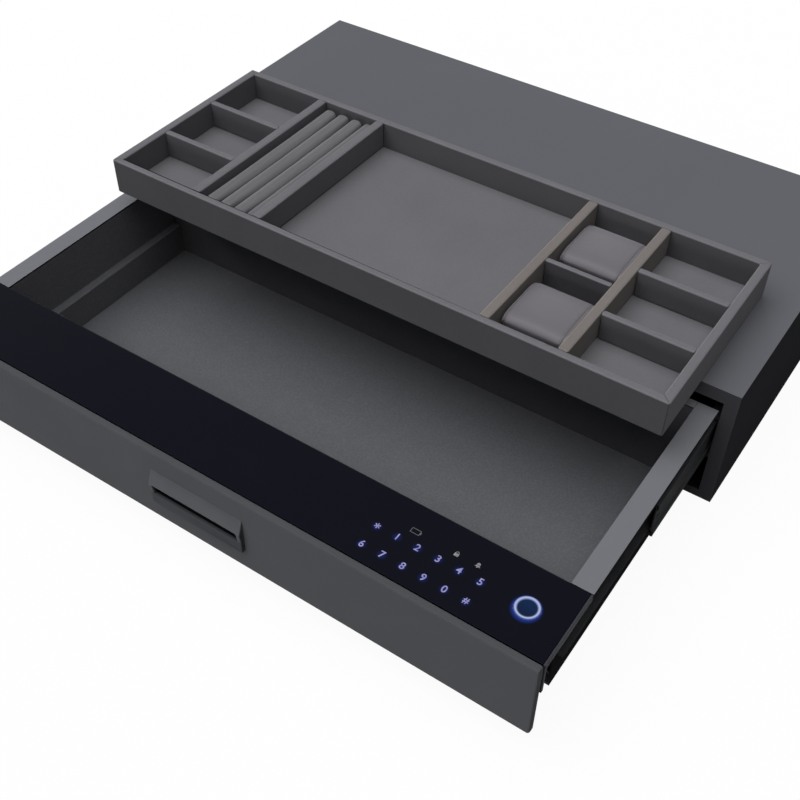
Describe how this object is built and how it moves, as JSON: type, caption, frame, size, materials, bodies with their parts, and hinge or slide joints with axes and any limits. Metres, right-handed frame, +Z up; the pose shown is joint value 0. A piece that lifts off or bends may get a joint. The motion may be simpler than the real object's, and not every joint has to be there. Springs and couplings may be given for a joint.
{
  "type": "under desk drawer safe",
  "caption": "Flat steel safe for mounting under a desk: a keypad and fingerprint drawer on ball slides, with a lift-out jewellery tray.",
  "frame": {"origin": "centre of the casing's underside", "axes": "+X to the right across the width, +Y from the front to the back, +Z up; the drawer opens towards -Y"},
  "size_m": [0.63, 0.6222, 0.1618],
  "materials": {
    "casing_paint": "fine-textured grey powder coat",
    "dark_paint": "dark powder coat",
    "panel_paint": "smooth satin grey paint",
    "bolt_steel": "ground steel",
    "slide_steel": "black oxide on rolled steel",
    "zinc_steel": "zinc-plated steel",
    "lining": "fine grey felt",
    "black_plastic": "matt black moulded plastic",
    "touch_glass": "black back-printed glass",
    "ring_light": "lit light-guide ring",
    "circuit_board": "solder-masked board",
    "cell_jacket": "printed foil jacket, plain",
    "brass": "cut brass",
    "tray_cloth": "grey microsuede over board",
    "pillow_cloth": "grey microsuede over foam",
    "trim_cloth": "warm grey microsuede over board"
  },
  "bodies": {
    "casing": {"casing_shell": "casing_paint", "casing_back_panel": "casing_paint", "top_liner": "dark_paint", "side_channel_left": "dark_paint", "side_channel_right": "dark_paint", "bolt_keeper": "bolt_steel", "slide_outer_left": "slide_steel", "slide_outer_right": "slide_steel"},
    "drawer": {"battery_1": "cell_jacket", "battery_2": "cell_jacket", "battery_3": "cell_jacket", "battery_4": "cell_jacket", "battery_holder": "black_plastic", "control_deck": "panel_paint", "control_housing": "black_plastic", "drawer_back_plate": "panel_paint", "drawer_tub": "panel_paint", "false_floor": "lining", "fingerprint_reader": "black_plastic", "fingerprint_ring": "ring_light", "front_panel": "panel_paint", "hard_plate": "bolt_steel", "keypad_board": "circuit_board", "lock_case": "zinc_steel", "lock_cover": "zinc_steel", "lock_motor": "bolt_steel", "pull_handle": "panel_paint", "side_lining_left": "lining", "side_lining_right": "lining", "slide_inner_left": "slide_steel", "slide_inner_right": "slide_steel", "touch_glass": "touch_glass"},
    "slide_middle_left": {"slide_middle_left": "slide_steel"},
    "slide_middle_right": {"slide_middle_right": "slide_steel"},
    "slide_cage_outer_left": {"slide_cage_outer_left": "zinc_steel"},
    "slide_cage_outer_right": {"slide_cage_outer_right": "zinc_steel"},
    "slide_cage_inner_left": {"slide_cage_inner_left": "zinc_steel"},
    "slide_cage_inner_right": {"slide_cage_inner_right": "zinc_steel"},
    "lock_bolt": {"lock_bolt": "bolt_steel"},
    "lock_pinion": {"lock_pinion": "brass"},
    "battery_door": {"battery_door": "black_plastic"},
    "watch_pillow_front": {"watch_pillow_front": "pillow_cloth"},
    "watch_pillow_back": {"watch_pillow_back": "pillow_cloth"},
    "tray": {"cross_divider_left_1": "tray_cloth", "cross_divider_left_2": "tray_cloth", "cross_divider_right_1": "tray_cloth", "cross_divider_right_2": "tray_cloth", "cross_divider_watch": "tray_cloth", "long_divider_1": "tray_cloth", "long_divider_2": "tray_cloth", "long_divider_3": "trim_cloth", "long_divider_4": "trim_cloth", "ring_roll_1": "pillow_cloth", "ring_roll_2": "pillow_cloth", "ring_roll_3": "pillow_cloth", "ring_roll_4": "pillow_cloth", "tray_base": "tray_cloth", "tray_rim": "tray_cloth"}
  },
  "joints": [
    {"name": "drawer_slide", "type": "slide", "parent": "casing", "child": "drawer", "axis": [0, -1, 0], "range_m": [-0.2165, 0]},
    {"name": "slide_middle_left_travel", "type": "slide", "parent": "casing", "child": "slide_middle_left", "axis": [0, -1, 0], "range_m": [-0.10825, 0]},
    {"name": "slide_middle_right_travel", "type": "slide", "parent": "casing", "child": "slide_middle_right", "axis": [0, -1, 0], "range_m": [-0.10825, 0]},
    {"name": "slide_cage_outer_left_travel", "type": "slide", "parent": "casing", "child": "slide_cage_outer_left", "axis": [0, -1, 0], "range_m": [-0.05412, 0]},
    {"name": "slide_cage_outer_right_travel", "type": "slide", "parent": "casing", "child": "slide_cage_outer_right", "axis": [0, -1, 0], "range_m": [-0.05412, 0]},
    {"name": "slide_cage_inner_left_travel", "type": "slide", "parent": "casing", "child": "slide_cage_inner_left", "axis": [0, -1, 0], "range_m": [-0.16237, 0]},
    {"name": "slide_cage_inner_right_travel", "type": "slide", "parent": "casing", "child": "slide_cage_inner_right", "axis": [0, -1, 0], "range_m": [-0.16237, 0]},
    {"name": "bolt_throw", "type": "slide", "parent": "drawer", "child": "lock_bolt", "axis": [0, 0, 1], "range_m": [0, 0.01]},
    {"name": "pinion_spin", "type": "hinge", "parent": "drawer", "child": "lock_pinion", "pos_m": [0.012, -0.139, 0.068], "axis": [0, 1, 0], "range_deg": [0, 95.5]},
    {"name": "battery_door_hinge", "type": "hinge", "parent": "drawer", "child": "battery_door", "pos_m": [0, -0.3771, 0.0792], "axis": [1, 0, 0], "range_deg": [0, 95]},
    {"name": "tray_lift", "type": "slide", "parent": "casing", "child": "tray", "axis": [0, 0, 1], "range_m": [0, 0.15]},
    {"name": "pillow_front_lift", "type": "slide", "parent": "tray", "child": "watch_pillow_front", "axis": [0, 0, 1], "range_m": [0, 0.06]},
    {"name": "pillow_back_lift", "type": "slide", "parent": "tray", "child": "watch_pillow_back", "axis": [0, 0, 1], "range_m": [0, 0.06]}
  ],
  "couplings": [
    {"joint": "slide_middle_left_travel", "follows": "drawer_slide", "ratio": 0.5},
    {"joint": "slide_middle_right_travel", "follows": "drawer_slide", "ratio": 0.5},
    {"joint": "slide_cage_outer_left_travel", "follows": "drawer_slide", "ratio": 0.25},
    {"joint": "slide_cage_outer_right_travel", "follows": "drawer_slide", "ratio": 0.25},
    {"joint": "slide_cage_inner_left_travel", "follows": "drawer_slide", "ratio": 0.75},
    {"joint": "slide_cage_inner_right_travel", "follows": "drawer_slide", "ratio": 0.75},
    {"joint": "pinion_spin", "follows": "bolt_throw", "rad_per_m": 166.67}
  ]
}
